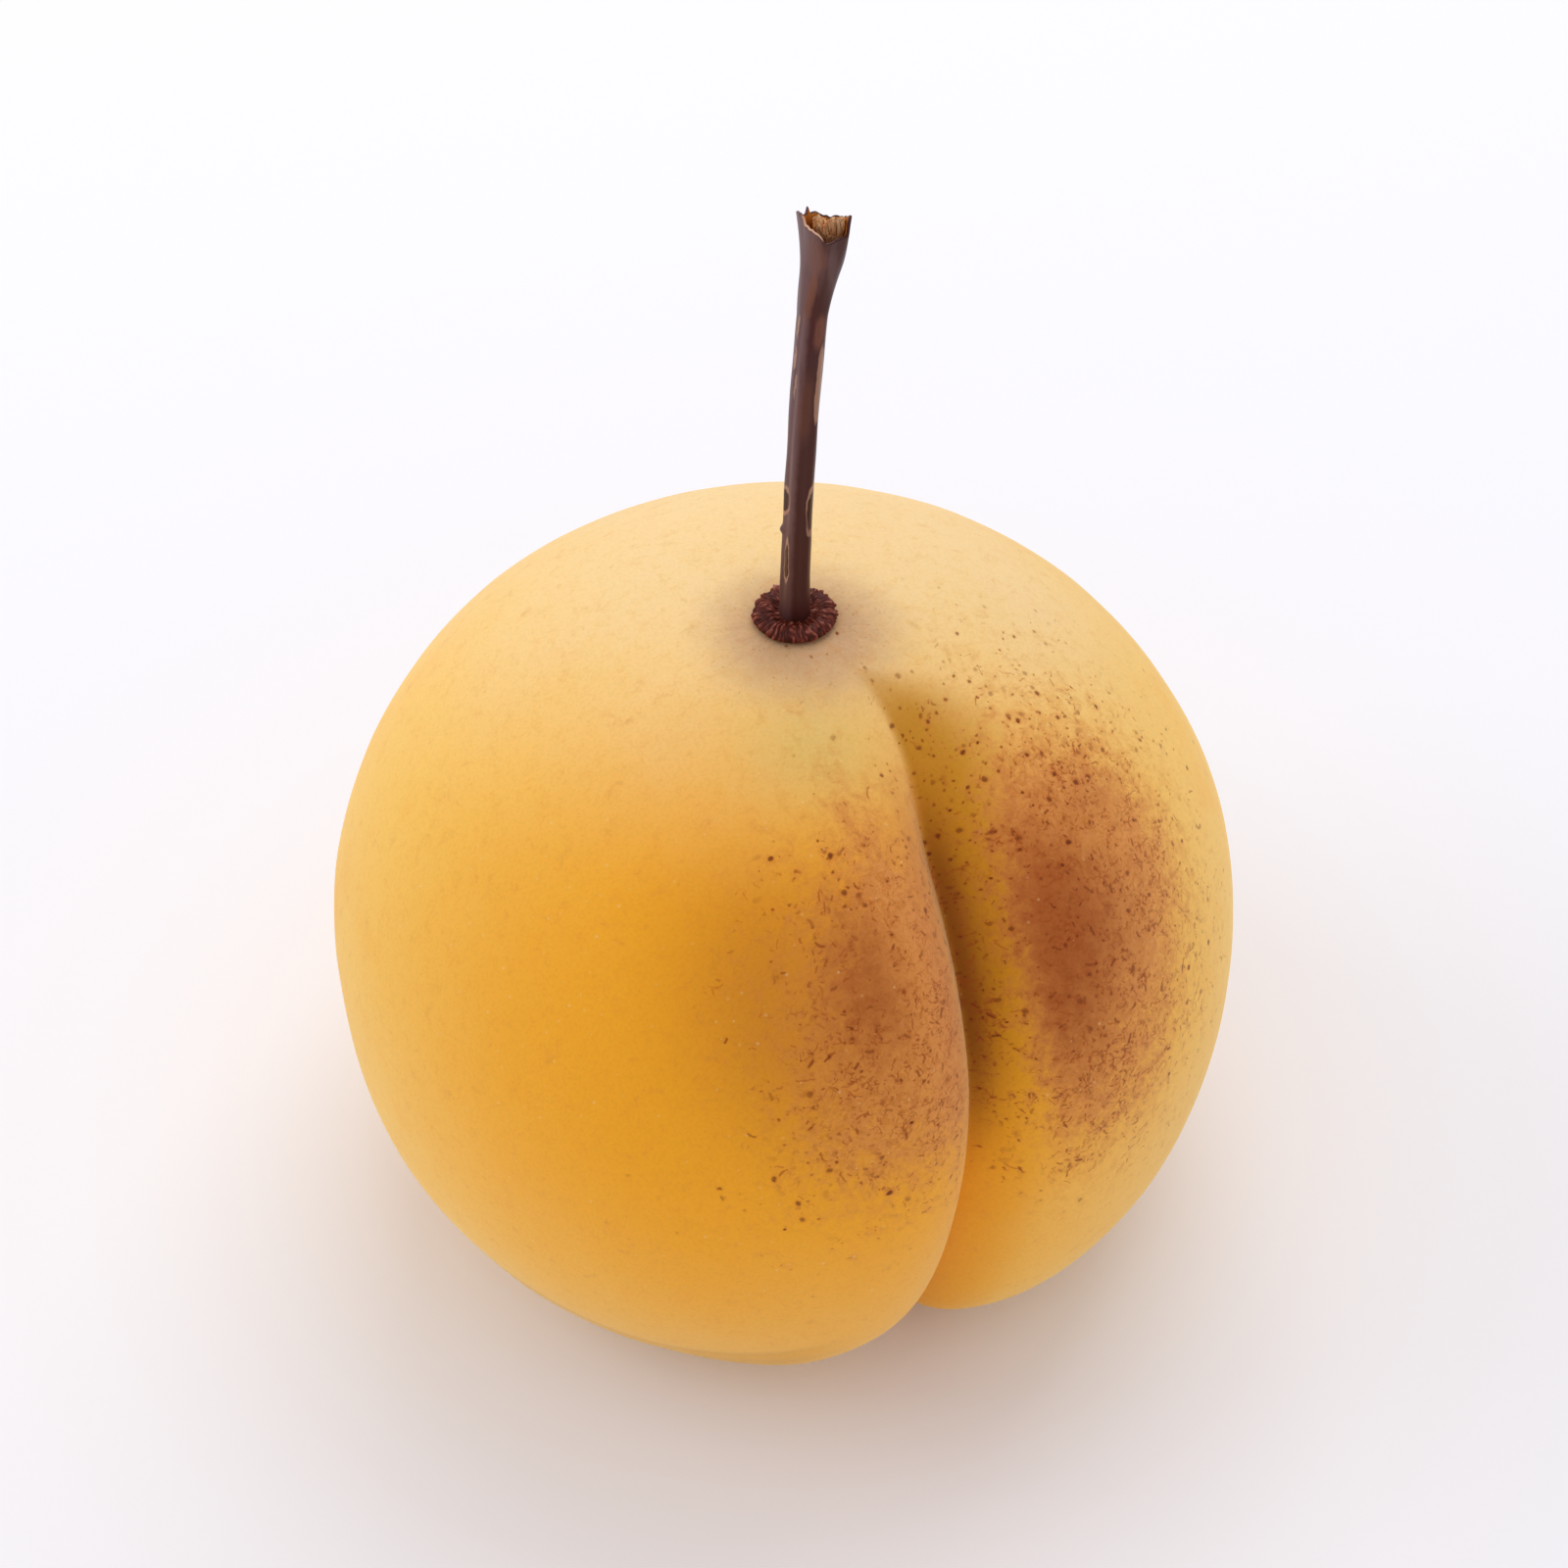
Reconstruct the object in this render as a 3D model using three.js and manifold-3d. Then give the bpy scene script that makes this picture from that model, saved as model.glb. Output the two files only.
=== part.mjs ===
// One ripe apricot with its dry stalk, standing on the flat of its underside.
//
// Millimetres, +Z up. The origin is the middle of the flat foot, and the
// fruit's growing axis is +Z. The suture, the seam between the two lobes,
// faces -Y and wanders a little from side to side on its way down.
//
// Three pieces: the fruit, the wrinkled collar that lies on its crown, and
// the stalk, which passes through the collar into a shallow socket.

import * as THREE from 'three';
import { mergeVertices } from 'three/addons/utils/BufferGeometryUtils.js';
import Module from 'manifold-3d';

const wasm = await Module();
wasm.setup();

// ---- Driving dimensions: millimetres, and degrees where a comment says so --

// The round body, before the lobes and the suture are pressed into it.
const GIRTH_RADIUS = 27.5;          // at the widest level
const GIRTH_HEIGHT = 19.2;          // of the widest level above the foot
const CROWN_RISE = 24.5;            // from the widest level up to the crown
const CROWN_FULLNESS = 2.12;        // 2 is an ellipse, more is squarer
const UNDERSIDE_FULLNESS = 2.47;
const FOOT_RADIUS = 9;              // the flat spot that it stands on
const FOOT_BLEND = 6;               // height over which pressing works in full

// The right lobe's full lower cheek, swollen a little beyond the round body.
const CHEEK_SWELL = 1.1;
const CHEEK_POLAR = 143;            // degrees down from the crown
const CHEEK_AZIMUTH = 38;           // degrees right of the front
const CHEEK_SPREAD = 22;            // degrees

// The suture: a sharp crease in the middle of a broad valley.
const CREASE_DEPTH = 3;
const CREASE_ROUNDING = 0.15;
const VALLEY_DEPTH = 1.6;
const VALLEY_WIDTH = 4.1;
const LEFT_LIP_WIDTH = 1.25;        // the left lobe ends in a tight round lip
const LEFT_LIP_WIDTH_HIGH = 2.2;    // which is softer near the stalk
const LEFT_LIP_TIGHTENS = [30, 70]; // degrees down from the crown
const RIGHT_LIP_WIDTH = 3.9;        // the right lobe slopes in more gently
const RIGHT_LIP_WIDTH_LOW = 1;      // until it tightens near the foot
const RIGHT_LIP_TIGHTENS = [100, 130];   // degrees down from the crown
const SUTURE_STARTS = [2.5, 18];    // distances from the stalk, none to full
const SUTURE_ENDS = [130, 153];     // degrees down from the crown, full to none

// The suture's sideways course, positive to the right.
const COURSE_OFFSET = 0.65;
const COURSE_SWAY = 2;
const COURSE_HOOK = 1.7;            // the extra bend near the stalk
const HOOK_POLAR = 22;              // degrees down from the crown
const HOOK_SPREAD = 22;             // degrees

// The stalk, a little off the middle of the crown, and the dimple around it.
const STALK_AT = new THREE.Vector2(0.8, 0.3);
const DIMPLE_DEPTH = 0.6;
const DIMPLE_WIDTH = 5;
const STALK_RADIUS = 0.8;
const STALK_FOOT_SPREAD = 0.08;     // extra radius at the skin
const STALK_END_FLARE = 0.62;       // extra radius at the broken end
const STALK_FLARE_FROM = 0.79;      // share of the stalk's length
const STALK_FLARE_CURVE = 1.2;      // 1 would be a straight flare
const STALK_LENGTH = 27.2;          // above the skin
const STALK_SINK = 2.4;             // below the skin
const STALK_LEAN = new THREE.Vector2(1.25, -0.55);
const STALK_CUP_DEPTH = 1.5;        // hollow of the broken end
const STALK_WALL = 0.32;

// The collar around the stalk's foot.
const COLLAR_RADIUS = 2.4;
const COLLAR_HEIGHT = 0.9;
const COLLAR_SCALLOPS = 11;
const COLLAR_SCALLOP_DEPTH = 0.12;

const GAP = 0.3;                    // between pieces that touch

// Facets.
const CROWN_RINGS = 21;
const UNDERSIDE_RINGS = 18;
const FOOT_RINGS = 2;
const FRUIT_SEGMENTS = 72;
const FRONT_CROWDING = 0.7;         // meridians bunch towards the suture
const STRAIGHT_RADIUS = 4;          // within it they no longer bend to follow it
const STALK_RINGS = 16;
const STALK_SEGMENTS = 20;
const COLLAR_SEGMENTS = 44;

// ---- Helpers ----------------------------------------------------------------

const DEGREE = Math.PI / 180;
const QUARTER = Math.PI / 2;
const { lerp, smoothstep } = THREE.MathUtils;

function bell(offset, width) {
  return Math.exp(-((offset / width) ** 2));
}

// Turns an outline of (radius, height) points, listed from the bottom up on
// the outside, about +Z. Azimuth 0 of the turned body faces -Y.
function turned(outline, segments) {
  return new THREE.LatheGeometry(outline, segments).rotateX(QUARTER);
}

// Passes each vertex of a geometry to a function that moves it.
function reshape(geometry, move) {
  const position = geometry.getAttribute('position');
  const point = new THREE.Vector3();
  for (let i = 0; i < position.count; i++) {
    point.fromBufferAttribute(position, i);
    move(point);
    position.setXYZ(i, point.x, point.y, point.z);
  }
  return geometry;
}

function toSolid(geometry) {
  const bare = geometry.clone();
  bare.deleteAttribute('normal');
  bare.deleteAttribute('uv');
  const merged = mergeVertices(bare, 1e-3);
  return new wasm.Manifold(new wasm.Mesh({
    numProp: 3,
    vertProperties: merged.getAttribute('position').array,
    triVerts: new Uint32Array(merged.index.array),
  }));
}

function toGeometry(solid) {
  const { vertProperties, triVerts } = solid.getMesh();
  const geometry = new THREE.BufferGeometry();
  geometry.setAttribute('position', new THREE.BufferAttribute(vertProperties, 3));
  geometry.setIndex(new THREE.BufferAttribute(triVerts, 1));
  geometry.computeVertexNormals();
  return geometry;
}

function piece(name, geometry, color, roughness) {
  const material = new THREE.MeshStandardMaterial({ color, roughness, metalness: 0 });
  const mesh = new THREE.Mesh(geometry, material);
  mesh.name = name;
  return mesh;
}

// ---- The fruit's skin ---------------------------------------------------------

// A quarter of a superellipse: 0 is at the end of its rise, a quarter turn is
// at the end of its reach.
function quarterArc(reach, rise, fullness, turn) {
  const power = 2 / fullness;
  return new THREE.Vector2(reach * Math.sin(turn) ** power, rise * Math.cos(turn) ** power);
}

// The round body's outline, from the middle of the foot up to the crown.
function bodyOutline() {
  const outline = [];
  for (let i = 0; i < FOOT_RINGS; i++) {
    outline.push(new THREE.Vector2(FOOT_RADIUS * i / FOOT_RINGS, 0));
  }
  for (let i = 0; i < UNDERSIDE_RINGS; i++) {
    const turn = QUARTER * i / UNDERSIDE_RINGS;
    const arc = quarterArc(GIRTH_RADIUS - FOOT_RADIUS, GIRTH_HEIGHT, UNDERSIDE_FULLNESS, turn);
    outline.push(new THREE.Vector2(FOOT_RADIUS + arc.x, GIRTH_HEIGHT - arc.y));
  }
  for (let i = CROWN_RINGS; i >= 0; i--) {
    const turn = QUARTER * i / CROWN_RINGS;
    const arc = quarterArc(GIRTH_RADIUS, CROWN_RISE, CROWN_FULLNESS, turn);
    outline.push(new THREE.Vector2(arc.x, GIRTH_HEIGHT + arc.y));
  }
  return outline;
}

// Both angles of a point as seen from the middle of the widest level: polar
// down from the crown, and azimuth right of the front.
function anglesOf(point) {
  const radius = Math.hypot(point.x, point.y);
  return {
    radius,
    polar: Math.atan2(radius, point.z - GIRTH_HEIGHT),
    azimuth: Math.atan2(point.x, -point.y),
  };
}

// A unit vector from both angles, in degrees.
function direction(polar, azimuth) {
  const level = Math.sin(polar * DEGREE);
  const x = level * Math.sin(azimuth * DEGREE);
  const y = -level * Math.cos(azimuth * DEGREE);
  return new THREE.Vector3(x, y, Math.cos(polar * DEGREE));
}

function cheekSwell(outward) {
  const cheek = direction(CHEEK_POLAR, CHEEK_AZIMUTH);
  const fall = (1 - outward.dot(cheek)) / (1 - Math.cos(CHEEK_SPREAD * DEGREE));
  return CHEEK_SWELL * Math.exp(-fall);
}

// The suture's place at a polar angle, as a distance right of the front.
function sutureCourse(polar) {
  const hook = bell(polar / DEGREE - HOOK_POLAR, HOOK_SPREAD);
  return COURSE_OFFSET * Math.sin(polar) + COURSE_SWAY * Math.sin(2 * polar) + COURSE_HOOK * hook;
}

function stalkDistance(point) {
  return Math.hypot(point.x - STALK_AT.x, point.y - STALK_AT.y);
}

// How far the suture is pressed in at a point of the round body.
function suturePress(point, { radius, polar, azimuth }) {
  const degrees = polar / DEGREE;
  const across = radius * azimuth - sutureCourse(polar);
  const begun = point.z > GIRTH_HEIGHT ? smoothstep(stalkDistance(point), ...SUTURE_STARTS) : 1;
  const tight = smoothstep(degrees, ...RIGHT_LIP_TIGHTENS);
  const rightLip = lerp(RIGHT_LIP_WIDTH, RIGHT_LIP_WIDTH_LOW, tight);
  const leftTight = smoothstep(degrees, ...LEFT_LIP_TIGHTENS);
  const leftLip = lerp(LEFT_LIP_WIDTH_HIGH, LEFT_LIP_WIDTH, leftTight);
  const onRight = across > 0;
  const lip = onRight ? rightLip : leftLip;
  const valley = onRight ? VALLEY_DEPTH * (1 - tight) : VALLEY_DEPTH;
  const crease = CREASE_DEPTH + VALLEY_DEPTH - valley;
  const fromCrease = Math.hypot(across, CREASE_ROUNDING) - CREASE_ROUNDING;
  const press = crease * Math.exp(-fromCrease / lip) + valley * bell(across, VALLEY_WIDTH);
  return press * begun * (1 - smoothstep(degrees, ...SUTURE_ENDS));
}

// Moves a point of the round body to the skin.
function toSkin(point) {
  const angles = anglesOf(point);
  const outward = point.clone().setZ(point.z - GIRTH_HEIGHT).normalize();
  const out = cheekSwell(outward) - suturePress(point, angles);
  const dimple = point.z > GIRTH_HEIGHT ? DIMPLE_DEPTH * bell(stalkDistance(point), DIMPLE_WIDTH) : 0;
  const lift = smoothstep(point.z, 0, FOOT_BLEND);
  point.x += out * outward.x;
  point.y += out * outward.y;
  point.z += out * outward.z * lift - dimple;
}

// Bunches the meridians towards the front, and bends them so that the middle
// one runs along the suture.
function crowdFront(point) {
  const { radius, polar, azimuth } = anglesOf(point);
  const crowded = azimuth - FRONT_CROWDING * Math.sin(azimuth);
  const nearFront = 0.5 + 0.5 * Math.cos(azimuth);
  const turn = crowded + nearFront * sutureCourse(polar) / Math.max(radius, STRAIGHT_RADIUS);
  point.x = radius * Math.sin(turn);
  point.y = -radius * Math.cos(turn);
}

// The height of the skin where the stalk meets it.
function stalkSeat() {
  const share = Math.min(STALK_AT.length() / GIRTH_RADIUS, 1);
  const rise = CROWN_RISE * (1 - share ** CROWN_FULLNESS) ** (1 / CROWN_FULLNESS);
  return GIRTH_HEIGHT + rise - DIMPLE_DEPTH;
}

// ---- Pieces -------------------------------------------------------------------

// One solid: the skin and all that is in it, with a shallow socket for the stalk.
function makeFruit() {
  const body = reshape(turned(bodyOutline(), FRUIT_SEGMENTS), (point) => {
    crowdFront(point);
    toSkin(point);
  });
  const width = STALK_RADIUS + GAP;
  const depth = STALK_SINK + GAP;
  const drill = new THREE.CylinderGeometry(width, width, 2 * depth, STALK_SEGMENTS);
  drill.rotateX(QUARTER).translate(STALK_AT.x, STALK_AT.y, stalkSeat());
  const fruit = toSolid(body).subtract(toSolid(drill));
  return piece('fruit', toGeometry(fruit), 0xe6a63a, 0.62);
}

// The stalk's radius at a share of its length above the skin.
function stalkRadius(share) {
  const foot = STALK_FOOT_SPREAD * (1 - smoothstep(share, 0, 0.3));
  const above = Math.max(share - STALK_FLARE_FROM, 0) / (1 - STALK_FLARE_FROM);
  return STALK_RADIUS + foot + STALK_END_FLARE * above ** STALK_FLARE_CURVE;
}

// A woody rod with a flared, hollow broken end. It grows straight up, then
// leans over as it rises.
function makeStalk() {
  const outline = [new THREE.Vector2(0, -STALK_SINK), new THREE.Vector2(STALK_RADIUS, -STALK_SINK)];
  for (let i = 0; i <= STALK_RINGS; i++) {
    const share = i / STALK_RINGS;
    outline.push(new THREE.Vector2(stalkRadius(share), STALK_LENGTH * share));
  }
  const cupFloor = STALK_LENGTH - STALK_CUP_DEPTH;
  outline.push(new THREE.Vector2(stalkRadius(1) - STALK_WALL, STALK_LENGTH));
  outline.push(new THREE.Vector2(stalkRadius(cupFloor / STALK_LENGTH) - STALK_WALL, cupFloor));
  outline.push(new THREE.Vector2(0, cupFloor));
  const rod = reshape(turned(outline, STALK_SEGMENTS), (point) => {
    const share = Math.max(point.z / STALK_LENGTH, 0);
    const bend = lerp(share ** 2, share, 0.22);
    point.x += STALK_LEAN.x * bend;
    point.y += STALK_LEAN.y * bend;
  });
  const stalk = piece('stalk', rod, 0x4a2f2a, 0.55);
  stalk.position.set(STALK_AT.x, STALK_AT.y, stalkSeat());
  return stalk;
}

// A dished ring with a scalloped edge, lying on the skin around the stalk.
function makeCollar() {
  const inner = STALK_RADIUS + STALK_FOOT_SPREAD + GAP;
  const section = [
    new THREE.Vector2(inner, 0),
    new THREE.Vector2(COLLAR_RADIUS * 0.92, 0),
    new THREE.Vector2(COLLAR_RADIUS, COLLAR_HEIGHT * 0.4),
    new THREE.Vector2(COLLAR_RADIUS * 0.9, COLLAR_HEIGHT * 0.85),
    new THREE.Vector2(COLLAR_RADIUS * 0.72, COLLAR_HEIGHT),
    new THREE.Vector2(inner, COLLAR_HEIGHT * 0.7),
    new THREE.Vector2(inner, 0),
  ];
  const ring = reshape(turned(section, COLLAR_SEGMENTS), (point) => {
    const { radius, azimuth } = anglesOf(point);
    const towardsEdge = smoothstep(radius, inner, COLLAR_RADIUS);
    const scallop = COLLAR_SCALLOP_DEPTH * towardsEdge * Math.cos(COLLAR_SCALLOPS * azimuth);
    point.x *= 1 + scallop / radius;
    point.y *= 1 + scallop / radius;
  });
  const collar = piece('stalk_collar', ring, 0x3c1f1d, 0.7);
  collar.position.set(STALK_AT.x, STALK_AT.y, stalkSeat() + GAP);
  return collar;
}

const apricot = new THREE.Group();
apricot.name = 'apricot';
apricot.add(makeFruit(), makeStalk(), makeCollar());

export default apricot;
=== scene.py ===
import math
import random

import bmesh
import bpy
import numpy as np
from bpy.props import FloatProperty, FloatVectorProperty, IntProperty, PointerProperty
from mathutils import Matrix, Vector, noise


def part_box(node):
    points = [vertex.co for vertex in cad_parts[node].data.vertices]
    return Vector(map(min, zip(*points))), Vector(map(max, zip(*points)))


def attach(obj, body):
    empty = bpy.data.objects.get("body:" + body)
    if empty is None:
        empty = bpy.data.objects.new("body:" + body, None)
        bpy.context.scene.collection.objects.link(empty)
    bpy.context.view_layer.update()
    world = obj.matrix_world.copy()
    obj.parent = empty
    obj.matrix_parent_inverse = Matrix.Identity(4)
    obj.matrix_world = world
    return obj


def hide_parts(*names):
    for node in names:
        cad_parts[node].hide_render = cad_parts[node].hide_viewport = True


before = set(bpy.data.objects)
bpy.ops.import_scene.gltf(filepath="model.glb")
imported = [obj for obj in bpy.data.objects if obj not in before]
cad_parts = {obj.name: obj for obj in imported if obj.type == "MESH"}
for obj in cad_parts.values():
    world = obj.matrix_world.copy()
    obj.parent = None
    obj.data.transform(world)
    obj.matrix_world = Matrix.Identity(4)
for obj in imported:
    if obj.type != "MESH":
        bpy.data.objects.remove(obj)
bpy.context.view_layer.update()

bl_info = {
    "name": "Apricot with its stalk",
    "version": (1, 0, 0),
    "blender": (4, 5, 0),
    "location": "3D View > Sidebar > Apricot",
    "description": "Builds an apricot's skin, stalk and collar, and a pale stage around them",
    "category": "Add Mesh",
}

FRUIT_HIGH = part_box("fruit")[1]
COLLAR_LOW, COLLAR_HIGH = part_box("stalk_collar")
MM = 0.001  # one millimetre in metres; the shapes below are worked out in millimetres

# The skin's outline: a flat foot, a full underside up to the girth, and a domed crown.
CROWN_FULLNESS = 2.12  # 2 is an ellipse, and more is squarer
UNDERSIDE_FULLNESS = 2.47
CROWN_SHARE = 0.46  # of the sphere's turn from pole to pole
UNDERSIDE_SHARE = 0.44
FOOT_BLEND = 6  # below this height hollows and lumps fade out towards the floor
CHEEK_SWELL = 1.1
CHEEK_POLAR, CHEEK_AZIMUTH, CHEEK_SPREAD = math.radians(143), math.radians(38), math.radians(22)

# The suture, a crease down the front with a tight left lip and a wide right wall.
CREASE_ROUNDING = 0.15
VALLEY_DEPTH, VALLEY_WIDTH = 1.6, 4.1
LEFT_LIP_WIDTH_HIGH, LEFT_LIP_WIDTH = 2.2, 1.25
LEFT_LIP_TIGHTENS = (30, 70)  # degrees down from the stalk, as below
RIGHT_LIP_WIDTH, RIGHT_LIP_WIDTH_LOW = 3.9, 1
RIGHT_LIP_TIGHTENS = (100, 130)
SUTURE_STARTS = (2.5, 18)  # millimetres from the stalk
SUTURE_ENDS = (130, 153)
COURSE_OFFSET, COURSE_SWAY, COURSE_HOOK = 0.65, 2, 1.7
HOOK_POLAR, HOOK_SPREAD = 22, 22
FRONT_CROWDING = 0.7  # how much closer the meridians stand at the suture
STRAIGHT_RADIUS = 4  # inside it the meridians no longer follow the suture

# Lumps of the skin, and puckers around the stalk: height, size and seed of each layer.
SKIN_LUMPS = ((0.1, 9, 1), (0.03, 3.2, 2))
PUCKERS = ((0.06, 1, 3), (0.035, 0.45, 4))
PUCKERS_AT, PUCKERS_WIDTH = 3.2, 2.2  # millimetres from the stalk
PUCKER_SPOKES, PUCKER_STRETCH = 9, 0.5  # drawn out away from the stalk

# A faint hem low on the left lobe: its height at some degrees right of the front.
HEM_HEIGHTS = ((-63, 8.2), (-53, 7.5), (-42, 7.2), (-30, 8.5), (-16, 11))
HEM_FADES_IN, HEM_FADES_OUT = (-85, -60), (-26, -12)
# Its bands: strength, millimetres above the hem, and half width.
HEM_SHAPE = ((0.45, -3.2, 2.6), (-0.05, 0, 0.5))
# The second bands are painted shade at the hem and below its fold, near the floor.
HEM_SHADE = ((0.3, 0, 0.4), (0.8, -2, 1.8))

STALK_AT = (0.8, 0.3)
DIMPLE_DEPTH, DIMPLE_WIDTH = 0.6, 5
SEAT_HEIGHT = COLLAR_LOW.z / MM - 0.3  # the skin is this high where the stalk leaves it
HALO_AT = (0.7, -0.9)  # middle of the dusky skin around the collar
# The crown's cream is partly painted light, the back light's sheen on the top.
CROWN_MIDDLE = (math.radians(22), math.radians(165))  # of its pale skin
# The deepest gold faces the camera and is partly painted shade, on the side turned from the back
# light; the paler gold around it towards the rims is partly painted sheen.
DEEP_MIDDLE = (math.radians(64), math.radians(-22))  # of the deepest gold
FAR = 60  # noted on the underside, out of the crown's reach

# Stripes along the suture: millimetres right of it, half width, and where each fades in and out.
# The lip stripe is the lip's pinkish tan, and its lightness against the blush is partly painted
# sheen on the lip's turned edge.
LIP_TAN_AND_SHEEN_STRIPE = (-1.9, 1.45, (22, 42), (55, 90))
# The crease stripe is painted shade in the bottom of the suture.
CREASE_SHADE_STRIPE = (0.45, 1.15, (26, 46), (62, 92))
HONEY_STARTS = (55, 88)  # here the amber strip inside the suture turns to honey
STRIP_WIDTHS = (  # degrees down from the stalk, and the amber strip's width there
    (12, 0.2), (20, 2.8), (31, 4.9), (41, 4.2), (52, 3.5), (62, 3.2), (83, 3.4), (110, 3.6))

# The front map is a flat chart of the skin, in millimetres, that the marks are laid out on.
MAP_POLAR, MAP_AZIMUTH, MAP_RADIUS = math.radians(62), math.radians(5), 27

# Soft patches on the front map: across, up, half width, half height, strength.
PATCHES = {
    "green": ((-3.5, 19.5, 4.5, 4, 1),),
    "bronze": ((-10.5, 5.5, 5.5, 7.5, 1),),
    # The pale patches are painted sheen: they lighten the skin towards cream near its rims and low
    # on the front.
    "pale": (
        (-6, -17, 13, 6, 0.2), (20, 6, 5, 15, 0.35), (20, 20, 7.5, 8, 0.8), (12, -14, 8, 5, 0.3)),
    "wash": (
        (8.5, 5, 6, 10, 1.3), (13, 6, 5.5, 8, 0.6), (5, 12, 3.5, 5, 0.6), (7, -7, 5.5, 5, 0.5),
        (-5.5, 5, 4.6, 8, 0.9), (-9, 1, 4.5, 7, 0.4), (-7, -4, 6, 5, 0.45), (-3, 6, 2, 10, 0.9),
        (4.5, 0, 2.5, 10, 0.6)),
    "blush": (
        (5.4, 4.5, 3.4, 8.5, 0.95), (8, 6, 4.5, 7.5, 0.3), (9.5, 3.5, 4, 5, 0.45),
        (12.5, 10, 2.5, 1.8, 0.4), (4.8, -2, 2.4, 4, 0.35), (-6, 6, 2.6, 5, 0.8),
        (-8, 3, 3.2, 4.5, 0.35)),
    "flecks": (
        (10, 3, 8, 12, 1.2), (5, -8, 4, 4, 0.7), (-6.5, 1, 6, 9.5, 0.9), (-3, 2, 1.5, 10, 0.6),
        (1, -1, 1.2, 8, 1.3)),
    "dots": (
        (9, 15, 6.5, 5.5, 1.3), (14, 5, 8, 12, 0.7), (-5, 12, 5, 4.5, 0.6), (-9, -5, 8, 7, 0.5),
        (3, 6, 3, 14, 0.5), (0.5, 27.5, 3.5, 3, 0.3)),
}

# Marks on the skin, the undermost first. The shift keeps two patterns apart, and the cell,
# length and width are in millimetres. The crowd is a density, of which each mark takes a share.
MARKS = (
    # shift, cell, length, width, bend, crowd, share, ink, strength, stain around it
    (29, 0.8, 0.3, 0.34, 1, "flecks", 0.6, "thread", 0.3, 0),
    (0, 0.8, 0.7, 0.09, 0.9, "flecks", 0.65, "thread", 0.72, 0.35),
    (41, 0.42, 0.2, 0.11, 1, "flecks", 0.5, "thread", 0.72, 0.35),
    (17, 0.8, 0.34, 0.13, 0.8, "flecks", 0.45, "fleck", 0.75, 0.5),
    (73, 0.5, 0.01, 0.16, 0, "every", 0.25, "fleck", 0.8, 0.5),
    (0, 1, 0.03, 0.27, 0, "dots", 0.55, "fleck", 1, 0.5),
    (91, 0.4, 0.14, 0.1, 0, "dust", 1, "thread", 0.35, 0),
)
PIMPLES = (0.9, 0.02, 0.15, 0.2)  # cell, length, width, density
PIMPLE_SHIFT = 59
MARK_SIZES, MARK_DEPTHS, MARK_DEPTH_CURVE = (0.4, 1.3), (0.45, 1), 1.3
MARK_EDGE, STAIN_EDGE = (-0.4, 0.5), (-1.6, 0.2)  # in half widths inside the mark's outline
MARK_SWAY = (0.28, 0.28, 0)
BARE_DOTS = 0.035  # density of the dots outside every patch
PIMPLE_TINT = (0.95, 0.72, 0.36)

# Shades that the skin's colour is multiplied by.
BLUSH_SHADE = (0.78, 0.64, 0.38)
STAIN_SHADE = (0.92, 0.66, 0.4)
GRAIN_SHADE = (0.84, 0.82, 0.72)
WARM_SHADE = (1, 0.95, 0.78)

# The stalk: a thin rod that leans, with a flared and hollow broken end.
STALK_LENGTH = 27.2
STALK_SINK = 2.4  # of its foot, below the skin
FOOT_SPREAD, FOOT_SHARE = 0.08, 0.3
END_FLARE, FLARE_FROM, FLARE_CURVE = 0.62, 0.79, 1.2
STALK_LEAN = (1.25, -0.55)
STRAIGHTNESS = 0.22  # 0 bends all the way up, and 1 not at all
KINK, KINK_AT, KINK_SPREAD = 0.2, 0.93, 0.07
STALK_FACE = math.radians(-24.5)  # the way its ridge looks, right of the front
CUP_DEPTH, CUP_WALL, CUP_TAPER = 1.5, 0.17, 0.2
FACETS = ((0.05, 5, 1.2, 0.06), (0.02, 9, 0, -0.1))  # height, count, start, twist a millimetre
END_RIDGE, END_RIDGE_WIDTH = 0.07, 0.35
KNOTS, RAGGED_RIM = 0.07, 0.1
BUD_SWELL, BUD_TURN, BUD_HEIGHT, BUD_HALF_SIZE = 0.2, -1.45, 6.9, (0.25, 0.22)
CUT_BEGINS, CUT_ENDS = (-70, -50), (-6, 0)  # fresh cut of the rim, in degrees right of the ridge

# The broken rim: degrees right of the ridge, and millimetres above the stalk's length.
RIM_HEIGHTS = (
    (-180, -0.45), (-166, -0.15), (-147, 0), (-142, 0.35), (-137, 0), (-128, 0),
    (-90, 0.85), (-66, 1.1), (-56, 1), (-48, 0.65), (-32, 0.6), (-10, 0.3), (-2, 0.05),
    (3, -0.15), (8, -0.1), (30, -0.05), (56, -0.08), (60, 0), (64, 0.65), (74, 0.8),
    (90, 0.6), (105, 0.3), (130, -0.1), (164, -0.4), (180, -0.45))
RIM_STRETCH = 2.2  # the wall that moves up and down with the rim

# Crumbs of broken wood in the right side of the cup, spread like a sunflower's seeds.
CRUMBS = 400
GOLDEN_ANGLE = math.pi * (3 - math.sqrt(5))
CRUMB_RADII, CRUMB_SCATTER, CRUMB_LEANS = (0.055, 0.11), (-0.2, 0.2), (-0.12, 0.12)
CRUMB_TOP, CRUMB_RISE_RIGHT, CRUMB_RISE_BACK = -0.3, 0.1, 0.35
CRUMB_SPLAY, CRUMB_INSET, CRUMB_POINT = 0.12, 0.94, 0.7
CRUMB_LUMPS, CRUMB_LUMP_SIZE = 0.13, 0.12
EMPTY_SIDE = -0.4  # no crumbs further left than this
CRUMBLY_RADIUS, CRUMBLY_DEPTH = 1.15, 1.2  # the crumbs lie inside these
PACKED_RADIUS = 1.12  # and the cup's bare wall outside this

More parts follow.
